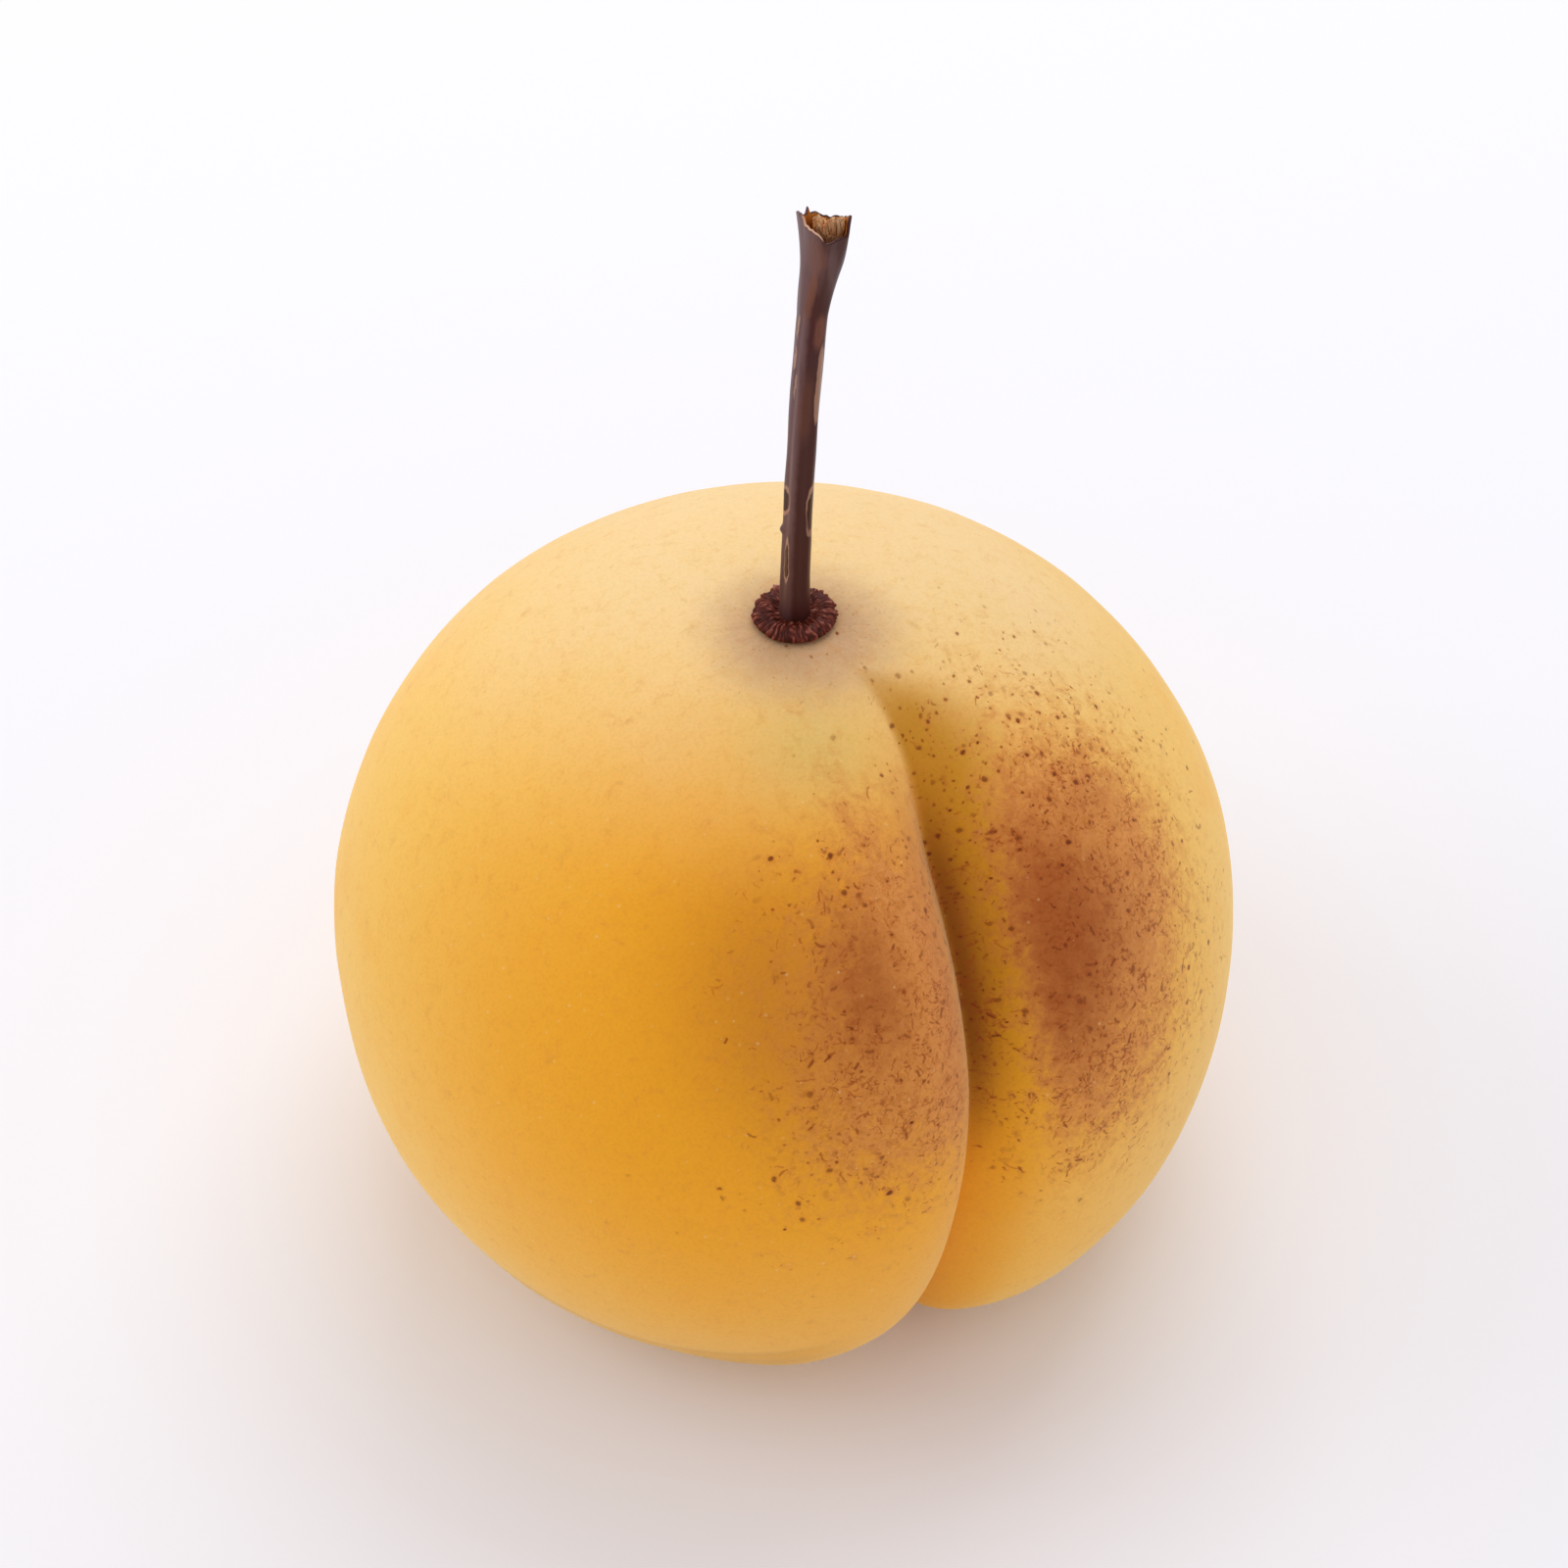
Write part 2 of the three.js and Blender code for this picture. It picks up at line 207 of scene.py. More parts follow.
# Scars of the bark: millimetres right of the ridge and up, half width, half height, and then
# the strength of the warm ones.
WARM_SCARS = (
    (-0.35, 23.5, 0.25, 1.8, 0.8), (0.38, 21, 0.3, 1.2, 0.8), (0, 15.8, 0.42, 2.4, 0.35),
    (-0.3, 26, 0.5, 1, 0.4))
DARK_SCARS = ((-0.78, 9.2, 0.26, 0.85), (0.72, 8.6, 0.26, 1.5), (-0.56, 4.9, 0.1, 1.5))
PEELED_SCARS = (
    (0.6, 17.4, 0.16, 2.7), (-0.72, 21.1, 0.05, 0.85), (-0.75, 18.9, 0.05, 0.8),
    (-0.62, 17.1, 0.05, 0.9))
CRACK = (0, 20.9, 0.075, 1.5)
BARK_SWAY = (0.22, 1, 0)

# The collar: a wrinkled ring, with a hole that the stalk fills.
COLLAR_HOLE, COLLAR_HALF_HEIGHT, COLLAR_STEPS = 0.6, 0.42, 56
COLLAR_LIFT = 0.15  # of the ring's middle above the lowest point of its solid
CREST_LAYERS = ((0.55, 0.12, 8), (0.45, 0.065, 12))  # share, size, seed
CREST_WANDER, KNOB_SIZE, FRONT_WIDTH = 0.14, 0.25, 1
DISH_DEPTH, DISH_RADIUS, DISH_WIDTH = 0.25, 1.1, 0.35

# Fixed tints of the stalk and the collar.
WARM_SCAR, DARK_SCAR, CRACK_RED = (0.19, 0.062, 0.032), (0.045, 0.012, 0.005), (0.07, 0.008, 0.007)
CUT_WOOD, CUP_WOOD = (0.8, 0.46, 0.3), (0.58, 0.21, 0.035)
PITH_GAPS, PITH_SHADOW = (0.24, 0.06, 0.01), (0.11, 0.028, 0.008)
# The tip tint is a painted highlight on the crumbs' tops.
PITH_FIBRES, PITH_CORE, PITH_TIP_HIGHLIGHT = (0.98, 0.62, 0.3), (0.45, 0.15, 0.018), (1, 0.7, 0.42)
# The collar's valley tint is painted shade and its crest tint a painted highlight.
COLLAR_VALLEY_SHADE, COLLAR_CREST_HIGHLIGHT = (0.045, 0.006, 0.003), (0.44, 0.17, 0.125)
COLLAR_FRINGE = (0.22, 0.045, 0.012)

CAMERA_AZIMUTH, CAMERA_ELEVATION = math.radians(-24.5), math.radians(48)
CAMERA_DISTANCE, CAMERA_AIM, CAMERA_LENS = 0.203, 0.0303, 75.4
SKY_COLOUR, SKY_STRENGTH = (0.97, 0.97, 1, 1), 0.74
FLOOR_SIZE = 3
LAMP_DISTANCE = 0.9
LAMPS = (  # name, angle from straight up, angle right of the camera, size, power
    ("back_lamp", math.radians(38), math.pi - 0.25, 0.7, 2.7),
    ("left_lamp", math.radians(60), -1.7, 0.6, 1.6),
)


def distance(name, description, default, least):
    return FloatProperty(
        name=name, description=description, default=default, min=least, unit="LENGTH")


def colour(name, description, *default):
    return FloatVectorProperty(
        name=name, description=description, subtype="COLOR", size=3, min=0, max=1, default=default)


class ApricotSizes(bpy.types.PropertyGroup):
    """Sizes of the apricot's pieces."""

    girth_radius: distance(
        "Girth radius", "From the fruit's middle to its widest place", FRUIT_HIGH.y, 0.01)
    girth_height: distance(
        "Girth height", "Height of the widest place above the floor", 19.2 * MM, 0.005)
    foot_radius: distance(
        "Foot radius", "Radius of the flat spot that the fruit rests on", 9 * MM, 0.001)
    suture_depth: distance(
        "Suture depth", "Depth of the crease between the two lobes", 3 * MM, 0)
    stalk_radius: distance("Stalk radius", "Half the thickness of the stalk", 0.8 * MM, 0.0002)
    collar_radius: distance(
        "Collar radius", "From the stalk's middle to the collar's edge",
        (COLLAR_HIGH.x - COLLAR_LOW.x) / 2, 0.0005)
    meridians: IntProperty(
        name="Meridians", description="Strips of the skin's mesh around the fruit",
        default=360, min=32)
    parallels: IntProperty(
        name="Parallels", description="Rings of the skin's mesh from pole to pole",
        default=240, min=32)


class ApricotColours(bpy.types.PropertyGroup):
    """Colours of the apricot's finishes."""

    gold: colour("Gold", "Ripe skin on the flanks", 0.935, 0.55, 0.105)
    # Partly painted shade, on the cheek that faces away from the back light.
    deep_gold: colour("Deep gold", "Deepest gold of the left cheek", 0.92, 0.39, 0.012)
    bronze: colour("Bronze", "Dusky gold beside the left blush", 0.66, 0.24, 0.014)
    # Partly painted light: the crown's cream stands in partly for the back light's sheen on the
    # top, and with the pale patches for sheen at the rims.
    cream: colour("Cream", "Pale skin of the crown", 0.92, 0.66, 0.34)
    beige: colour("Beige", "Skin beside the collar", 0.58, 0.34, 0.185)
    green: colour("Green", "Unripe tint in front of the collar", 0.66, 0.5, 0.15)
    amber: colour("Amber", "Deep yellow inside the suture", 0.56, 0.23, 0.004)
    honey: colour("Honey", "Brighter yellow low in the suture", 0.86, 0.365, 0.007)
    # Painted shade: this colour darkens the bottom of the suture and the skin below the hem.
    crease: colour("Crease", "Red-brown bottom of the suture", 0.26, 0.07, 0.003)
    wash: colour("Wash", "Soft tan edge of the sun blush", 0.715, 0.272, 0.072)
    # Partly painted sheen: the lip's lighter tan along the suture's left edge.
    lip: colour("Lip", "Pinkish tan lip beside the suture", 0.6, 0.2, 0.055)
    blush: colour("Blush", "Red-brown middle of the sun blush", 0.425, 0.107, 0.02)
    thread: colour("Thread", "Hairlines and faint flecks in the blush", 0.36, 0.075, 0.008)
    fleck: colour("Fleck", "Dark flecks in the blush", 0.17, 0.028, 0.002)
    bark: colour("Bark", "Chocolate bark of the stalk", 0.058, 0.013, 0.01)
    bark_light: colour("Worn bark", "Grey-purple bark on the stalk's worn side", 0.15, 0.072, 0.068)
    peel: colour("Peel", "Tan edges where the bark has peeled", 0.42, 0.22, 0.14)
    pith: colour("Pith", "Broken wood in the stalk's end", 0.8, 0.3, 0.06)
    collar: colour("Collar", "Dark ridges of the collar", 0.165, 0.026, 0.012)
    floor: colour("Floor", "Pale floor", 0.92, 0.915, 0.95)


def smoothstep(value, low, high):
    share = np.clip((value - low) / (high - low), 0, 1)
    return share * share * (3 - 2 * share)


def bell(offset, width):
    return np.exp(-((offset / width) ** 2))


def bells(offset, rows):
    """Sum of bells: the strength, middle and width of each."""
    return sum(strength * bell(offset - middle, width) for strength, middle, width in rows)


def mix(first, second, share):
    return first + (second - first) * share


def quarter_arc(reach, rise, fullness, turn):
    """Run and height of a squarish quarter arc, which starts on the axis at turn 0."""
    run = reach * np.clip(np.sin(turn), 0, 1) ** (2 / fullness)
    return run, rise * np.clip(np.cos(turn), 0, 1) ** (2 / fullness)


def lumps(points, size, seed):
    """Smooth noise from about -1 to 1 at each point, with lumps of this size."""
    shift = Vector((seed * 13.7, seed * 7.1, seed * 3.3))
    return np.array([noise.noise(Vector(point) / size + shift) for point in points])


def lumpy(points, layers):
    """Sum of layers of lumps: the height, size and seed of each."""
    return sum(height * lumps(points, size, seed) for height, size, seed in layers)


def points_of(mesh):
    """The mesh's points in millimetres, one row each."""
    flat = np.empty(len(mesh.vertices) * 3)
    mesh.vertices.foreach_get("co", flat)
    return flat.reshape(-1, 3) / MM


def place_points(mesh, points):
    mesh.vertices.foreach_set("co", (points * MM).ravel())
    mesh.update()


def note(mesh, **notes):
    """Stores values, or vectors, at the mesh's points for its finish to read."""
    for name, values in notes.items():
        kind, field = ("FLOAT", "value") if values.ndim == 1 else ("FLOAT_VECTOR", "vector")
        mesh.attributes.new(name, kind, "POINT").data.foreach_set(field, values.ravel())


def new_piece(name, shape, *finishes):
    """Turns a bmesh into a smooth object that wears these finishes."""
    mesh = bpy.data.meshes.new(name)
    for face in shape.faces:
        face.smooth = True
    shape.to_mesh(mesh)
    shape.free()
    for finish in finishes:
        mesh.materials.append(finish)
    piece = bpy.data.objects.new(name, mesh)
    bpy.context.scene.collection.objects.link(piece)
    return piece


def turned(profile, segments):
    """A closed solid, spun about the upright axis from (radius, height) points in millimetres."""
    shape = bmesh.new()
    points = [shape.verts.new((radius * MM, 0, height * MM)) for radius, height in profile]
    edges = [shape.edges.new(pair) for pair in zip(points, points[1:])]
    bmesh.ops.spin(
        shape, geom=points + edges, axis=(0, 0, 1), cent=(0, 0, 0),
        angle=math.tau, steps=segments, use_merge=True)
    bmesh.ops.remove_doubles(shape, verts=shape.verts, dist=1e-7)
    bmesh.ops.recalc_face_normals(shape, faces=shape.faces)
    return shape


# The skin


def skin_outline(polar_share, sizes):
    """Radius and height above the girth at each share of the turn from the top pole down."""
    girth, foot = sizes.girth_radius / MM, sizes.foot_radius / MM
    height = sizes.girth_height / MM
    rise = SEAT_HEIGHT + DIMPLE_DEPTH - height
    crown_turn = np.clip(polar_share / CROWN_SHARE, 0, 1) * math.pi / 2
    under_turn = np.clip((polar_share - CROWN_SHARE) / UNDERSIDE_SHARE, 0, 1) * math.pi / 2
    crown_run, crown_height = quarter_arc(girth, rise, CROWN_FULLNESS, crown_turn)
    drop, under_run = quarter_arc(height, girth - foot, UNDERSIDE_FULLNESS, under_turn)
    foot_run = foot * (1 - polar_share) / (1 - CROWN_SHARE - UNDERSIDE_SHARE)
    on_crown = polar_share < CROWN_SHARE
    on_foot = polar_share > CROWN_SHARE + UNDERSIDE_SHARE
    radius = np.where(on_crown, crown_run, np.where(on_foot, foot_run, foot + under_run))
    return radius, np.where(on_crown, crown_height, -drop)


def suture_course(polar):
    """How far right of the middle the suture runs, in millimetres, at each polar angle."""
    hook = COURSE_HOOK * bell(np.degrees(polar) - HOOK_POLAR, HOOK_SPREAD)
    return COURSE_OFFSET * np.sin(polar) + COURSE_SWAY * np.sin(2 * polar) + hook


def suture_press(across, polar, above, from_stalk, depth):
    """How deep the suture presses the skin in, in millimetres."""
    degrees = np.degrees(polar)
    begun = np.where(above > 0, smoothstep(from_stalk, *SUTURE_STARTS), 1)
    tight = smoothstep(degrees, *RIGHT_LIP_TIGHTENS)
    on_right = across > 0
    right_width = mix(RIGHT_LIP_WIDTH, RIGHT_LIP_WIDTH_LOW, tight)
    left_width = mix(
        LEFT_LIP_WIDTH_HIGH, LEFT_LIP_WIDTH, smoothstep(degrees, *LEFT_LIP_TIGHTENS))
    width = np.where(on_right, right_width, left_width)
    valley = np.where(on_right, VALLEY_DEPTH * (1 - tight), VALLEY_DEPTH)
    crease = depth + VALLEY_DEPTH - valley
    from_crease = np.hypot(across, CREASE_ROUNDING) - CREASE_ROUNDING
    press = crease * np.exp(-from_crease / width) + valley * bell(across, VALLEY_WIDTH)
    return press * begun * (1 - smoothstep(degrees, *SUTURE_ENDS))


def direction(polar, azimuth):
    """Unit direction at an angle from straight up and an angle right of the front."""
    return np.array([
        math.sin(polar) * math.sin(azimuth), -math.sin(polar) * math.cos(azimuth), math.cos(polar)])


def front_map(outward):
    """Millimetres across and up on a flat chart of the skin around the front."""
    middle = direction(MAP_POLAR, MAP_AZIMUTH)
    right = direction(math.pi / 2, MAP_AZIMUTH + math.pi / 2)
    up = direction(MAP_POLAR - math.pi / 2, MAP_AZIMUTH)
    angle = np.arccos(np.clip(outward @ middle, -1, 1))
    stretch = MAP_RADIUS * angle / np.maximum(np.sin(angle), 1e-3)
    return np.stack([outward @ right * stretch, outward @ up * stretch, 0 * angle], 1)


def patches(chart, spots):
    """Sum of soft oval patches on the front map."""
    total = np.zeros(len(chart))
    for across, up, half_width, half_height, strength in spots:
        reach = np.hypot((chart[:, 0] - across) / half_width, (chart[:, 1] - up) / half_height)
        total += strength * np.exp(-(reach ** 2))
    return total


def degrees_from(outward, polar, azimuth):
    """Angle from each outward direction to the one that is given."""
    return np.degrees(np.arccos(np.clip(outward @ direction(polar, azimuth), -1, 1)))


def stripe(across, down, middle, width, begins, ends):
    """A soft stripe along the suture, 1 in its middle."""
    return bell(across - middle, width) * smoothstep(down, *begins) * (1 - smoothstep(down, *ends))


def shape_skin(mesh, sizes):
    """Moves a unit sphere's points out to the apricot's skin and notes what its finish reads."""
    sphere = points_of(mesh) * MM
    polar_share = np.arccos(np.clip(sphere[:, 2], -1, 1)) / math.pi
    azimuth = np.arctan2(sphere[:, 0], -sphere[:, 1])
    radius, above = skin_outline(polar_share, sizes)
    polar = np.arctan2(radius, above)
    near_front = 0.5 + 0.5 * np.cos(azimuth)
    turn = azimuth - FRONT_CROWDING * np.sin(azimuth)
    turn = turn + near_front * suture_course(polar) / np.maximum(radius, STRAIGHT_RADIUS)
    x, y = radius * np.sin(turn), -radius * np.cos(turn)

    reach = np.maximum(np.hypot(radius, above), 1e-6)
    outward = np.stack([x, y, above], 1) / reach[:, None]
    from_stalk = np.hypot(x - STALK_AT[0], y - STALK_AT[1])
    across = radius * np.arctan2(x, -y) - suture_course(polar)
    cheek = outward @ direction(CHEEK_POLAR, CHEEK_AZIMUTH)
    swell = CHEEK_SWELL * np.exp(-(1 - cheek) / (1 - math.cos(CHEEK_SPREAD)))
    press = suture_press(across, polar, above, from_stalk, sizes.suture_depth / MM)
    points = np.stack([x, y, above + sizes.girth_height / MM], 1)
    lift = smoothstep(points[:, 2], 0, FOOT_BLEND)

    chart = front_map(outward)
    round_stalk = np.arctan2(x - STALK_AT[0], -(y - STALK_AT[1]))
    spokes = np.stack([
        PUCKER_SPOKES * np.sin(round_stalk), PUCKER_SPOKES * np.cos(round_stalk),
        PUCKER_STRETCH * from_stalk], 1)
    puckers = bell(from_stalk - PUCKERS_AT, PUCKERS_WIDTH) * (above > 0) * lumpy(spokes, PUCKERS)
    right = np.degrees(np.arctan2(x, -y))
    hem_reach = smoothstep(right, *HEM_FADES_IN) * (1 - smoothstep(right, *HEM_FADES_OUT))
    over_hem = points[:, 2] - np.interp(right, *zip(*HEM_HEIGHTS))
    dimple = DIMPLE_DEPTH * bell(from_stalk, DIMPLE_WIDTH) * (above > 0)

    out = swell - press + (lumpy(points, SKIN_LUMPS) + puckers) * lift
    out = out + bells(over_hem, HEM_SHAPE) * hem_reach
    points[:, :2] += out[:, None] * outward[:, :2]
    points[:, 2] += out * outward[:, 2] * lift - dimple
    place_points(mesh, points)

    down = np.degrees(polar)
    note(
        mesh,
        front_map=chart,
        across=across,
        strip=across / np.interp(down, *zip(*STRIP_WIDTHS)),
        low=smoothstep(down, *HONEY_STARTS),
        front=smoothstep(np.cos(azimuth), 0, 0.4),
        lip=stripe(across, down, *LIP_TAN_AND_SHEEN_STRIPE),
        # The crease is painted shade in the suture.
        crease=stripe(across, down, *CREASE_SHADE_STRIPE),
        from_deep=degrees_from(outward, *DEEP_MIDDLE),
        from_crown=degrees_from(outward, *CROWN_MIDDLE),
        from_stalk=np.where(above > 0, from_stalk, FAR),
        halo=np.where(above > 0, np.hypot(x - HALO_AT[0], y - HALO_AT[1]), FAR),
        # The hem note is painted shade below the hem's fold.
        hem=hem_reach * bells(over_hem, HEM_SHADE),
        **{name: patches(chart, spots) for name, spots in PATCHES.items()})


# Finishes


class Finish:
    """A material that is built up step by step: each call adds a node and gives back its output."""

    def __init__(self, name, **surface):
        self.material = bpy.data.materials.new(name)
        self.material.use_nodes = True
        self.tree = self.material.node_tree
        self.shader = self.tree.nodes["Principled BSDF"]
        for socket, value in surface.items():
            name = socket.replace("_", " ").title().replace("Ior", "IOR")
            self.shader.inputs[name].default_value = value
        self.millimetres = self.add(
            "Mapping", {"Vector": self.add("TexCoord", output="Object"), "Scale": (1 / MM,) * 3})

    def add(self, kind, inputs=(), output=0, **settings):
        node = self.tree.nodes.new("ShaderNode" + kind)
        for name, value in settings.items():
            setattr(node, name, value)
        for name, value in dict(inputs).items():
            self.feed(node.inputs[name], value)
        return node.outputs[output]

    def feed(self, socket, value):
        if isinstance(value, bpy.types.NodeSocket):
            self.tree.links.new(value, socket)
        elif socket.type == "RGBA":
            socket.default_value = (*value, 1)
        else:
            socket.default_value = value

    def wear(self, socket, value):
        self.feed(self.shader.inputs[socket], value)

    def noted(self, name, output="Fac"):
        return self.add("Attribute", output=output, attribute_name=name)

    def math(self, operation, first, second=0.5, third=0.5, clamp=False):
        return self.add(
            "Math", {0: first, 1: second, 2: third}, operation=operation, use_clamp=clamp)

    def times(self, *values):
        product = values[0]
        for value in values[1:]:
            product = self.math("MULTIPLY", product, value)
        return product

    def step(self, value, low, high, start=0.0, end=1.0):
        """Start where the value is below low, end where it is above high, and smooth between."""
        return self.add(
            "MapRange",
            {"Value": value, "From Min": low, "From Max": high, "To Min": start, "To Max": end},
            interpolation_type="SMOOTHSTEP")

    def paint(self, base, *coats):
        """The base under these coats, each a colour, its share and perhaps how it blends."""
        for tint, share, *blend in coats:
            base = self.add(
                "Mix", {0: share, 6: base, 7: tint}, output=2, data_type="RGBA",
                blend_type=blend[0] if blend else "MIX")
        return base

    def clouds(self, size, detail, roughness=0.5, distortion=0.0, place=None, output=0):
        """Noise from 0 to 1 with clouds of this size in millimetres."""
        return self.add("TexNoise", {
            "Vector": place or self.millimetres, "Scale": 1 / size, "Detail": detail,
            "Roughness": roughness, "Distortion": distortion}, output=output)

    def between(self, value, low, high):
        """Low where the value is 0, high where it is 1, and in proportion between."""
        return self.math("MULTIPLY_ADD", value, high - low, low)

    def stretched(self, factors):
        return self.add("Mapping", {"Vector": self.millimetres, "Scale": factors})

    def shifted(self, place, distance):
        """The same pattern taken from elsewhere, so that layers don't repeat each other."""
        return self.add("Mapping", {"Vector": place, "Location": (distance,) * 3})

    def swayed(self, place, clouds, distances):
        """The place, pushed about by up to half of these distances each way."""
        back = self.add("VectorMath", {0: place, 1: [-distance / 2 for distance in distances]})
        return self.add(
            "VectorMath", {0: clouds, 1: distances, 2: back}, operation="MULTIPLY_ADD")

    def length(self, vector):
        return self.add("VectorMath", {0: vector}, output="Value", operation="LENGTH")

    def bump(self, height, distance, strength, under=None):
        inputs = {"Height": height, "Distance": distance * MM, "Strength": strength}
        if under is not None:
            inputs["Normal"] = under
        return self.add("Bump", inputs)


def marks(finish, place, cell, length, width, density, bend=0.0):
    """One short mark in each cell of the chart whose lot is under the density.

    Gives back how dark the mark is, 0 to 1, and how strong the soft stain around it.
    """
    cells = finish.add(
        "TexVoronoi", {"Vector": place, "Scale": 1 / cell}, voronoi_dimensions="2D").node.outputs
    lot, turn, growth = finish.add("SeparateColor", {0: cells["Color"]}).node.outputs
    offset = finish.add("VectorMath", {0: place, 1: cells["Position"]}, operation="SUBTRACT")
    offset = finish.add(
        "VectorRotate", {"Vector": offset, "Angle": finish.times(turn, math.tau)},
        rotation_type="Z_AXIS")
    along, sideways, _ = finish.add("SeparateXYZ", {0: offset}).node.outputs
    grown = finish.between(growth, *MARK_SIZES)
    past_end = finish.math("MAXIMUM", finish.math(
        "SUBTRACT", finish.math("ABSOLUTE", along), finish.times(grown, length / 2)), 0)
    if bend:
        curl = finish.between(growth, -bend, bend)
        sideways = finish.math("MULTIPLY_ADD", finish.times(along, along), curl, sideways)
    distance = finish.length(finish.add("CombineXYZ", {0: past_end, 1: sideways}))
    inked = finish.math("SUBTRACT", 1, finish.math(
        "DIVIDE", distance, finish.times(grown, width / 2)))
    present = finish.step(finish.math("SUBTRACT", density, lot), 0, 0.08)
    depth = finish.math("POWER", finish.between(turn, *MARK_DEPTHS), MARK_DEPTH_CURVE)
    depth = finish.times(present, depth)
    return [finish.times(finish.step(inked, *edge), depth) for edge in (MARK_EDGE, STAIN_EDGE)]


def threads(finish, size):
    """Short curly hairlines, where a noise passes its middle value: how dark they are, 0 to 1."""
    wave = finish.between(finish.clouds(size, 3, 0.55, 0.6), -0.5, 0.5)
    gaps = finish.clouds(size * 0.7, 2, 0.5, place=finish.shifted(finish.millimetres, 9))
    line = finish.step(finish.math("ABSOLUTE", wave), 0.035, 0.008)
    return finish.times(line, finish.step(gaps, 0.45, 0.6))


def gold_coat(finish, colours, soft_clouds, beside):
    """The skin without its blush: gold flanks, a deeper gold cheek that is partly painted shade, a
    cream crown and rims that are partly painted sheen, and a beige ring by the collar.
    """
    wander = finish.between(soft_clouds, -8, 8)
    # Deeper gold on the cheek, partly painted shade; the plainer gold towards the rims is partly
    # painted sheen.
    deep = finish.step(finish.math("ADD", finish.noted("from_deep"), wander), 80, 18)
    blotches = finish.step(finish.clouds(6, 4, 0.6), 0.45, 0.75, 0, 0.4)
    # The cream crown, partly painted back light and sheen.
    crown = finish.step(finish.math("ADD", finish.noted("from_crown"), wander), 64, 14)
    # Painted sheen: the pale patches add cream towards the rims.
    crown = finish.math("ADD", crown, finish.times(finish.noted("pale"), 0.45), clamp=True)
    return finish.paint(
        colours.gold,
        (colours.deep_gold, finish.math("MAXIMUM", deep, blotches)),
        (colours.bronze, finish.math("MINIMUM", finish.noted("bronze"), 0.9)),
        (colours.cream, finish.times(crown, 0.9)),
        (colours.green, finish.times(finish.noted("green"), 0.5)),
        (colours.beige, finish.times(beside, 0.95)))


def suture_strip(finish, soft_clouds, mottle):
    """Where the amber strip inside the suture lies, 0 to 1, with a mottled edge."""
    edge = finish.math("MULTIPLY_ADD", mottle, 0.4, finish.noted("strip"))
    edge = finish.math("MULTIPLY_ADD", soft_clouds, 0.4, edge)
    return finish.times(
        finish.step(finish.noted("across"), -0.4, 0.5), finish.step(edge, 1.75, 0.65),
        finish.step(finish.noted("from_stalk"), 4.5, 9.5, 0.3), finish.noted("front"))


def sun_blush(finish, colours, skin, inside, mottle):
    """Paints a tan wash, the suture's lip partly as painted sheen, painted shade in its crease, and
    the red-brown blush over the gold.
    """
    curls = finish.between(finish.clouds(0.45, 4, 0.62, 1.5), -0.5, 0.5)
    lip = finish.noted("lip")
    wash = finish.times(finish.noted("wash"), finish.between(inside, 1, 0.15))
    wash = finish.step(finish.math("MULTIPLY_ADD", mottle, 1.7, wash), 0.02, 1.2, 0, 0.9)
    blush = finish.times(
        finish.noted("blush"), finish.between(lip, 1, 0.3), finish.between(inside, 1, 0.5))
    blush = finish.math("MULTIPLY_ADD", curls, 1.3, finish.math("ADD", mottle, blush))
    blush = finish.step(blush, 0.05, 1.45)
    dim = finish.times(finish.step(curls, 0.06, -0.12), finish.math("MAXIMUM", wash, blush), 0.75)
    return finish.paint(
        skin,
        (colours.wash, wash),
        (colours.bronze, finish.math("MINIMUM", finish.times(finish.noted("bronze"), 0.4), 0.5)),
        # The lip's tan, partly painted sheen.
        (colours.lip, finish.times(lip, 0.75)),
        # Painted shade in the suture's crease.
        (colours.crease, finish.times(finish.noted("crease"), 0.85)),
        (colours.blush, blush),
        (BLUSH_SHADE, dim, "MULTIPLY"))


def draw_marks(finish, colours, skin, inside, dust):
    """Draws the hairlines of the blush, the stains of the marks, and then the marks."""
    chart = finish.noted("front_map", "Vector")
    sway = finish.clouds(0.5, 2, place=chart, output="Color")
    chart = finish.swayed(chart, sway, MARK_SWAY)
    clusters = finish.step(finish.clouds(1.8, 3, 0.6), 0.3, 0.7, 0.1, 1.6)
    dots = finish.math("ADD", finish.times(finish.noted("dots"), clusters), BARE_DOTS)
    flecks = finish.times(finish.noted("flecks"), clusters, finish.between(inside, 1, 0.6))
    every = finish.math("ADD", dots, flecks)
    crowds = {"dots": dots, "flecks": flecks, "every": every, "dust": dust}
    hairlines = finish.times(
        threads(finish, 0.8), finish.math("MULTIPLY", flecks, 0.7, clamp=True))
    stains, inks = [(colours.thread, hairlines)], []
    for shift, cell, length, width, bend, crowd, share, ink, strength, stained in MARKS:
        mark, stain = marks(
            finish, finish.shifted(chart, shift), cell, length, width,
            finish.times(crowds[crowd], share), bend)
        if stained:
            stains.append((STAIN_SHADE, finish.times(stain, stained), "MULTIPLY"))
        inks.append((getattr(colours, ink), finish.times(mark, strength)))
    return finish.paint(skin, *stains, *inks)


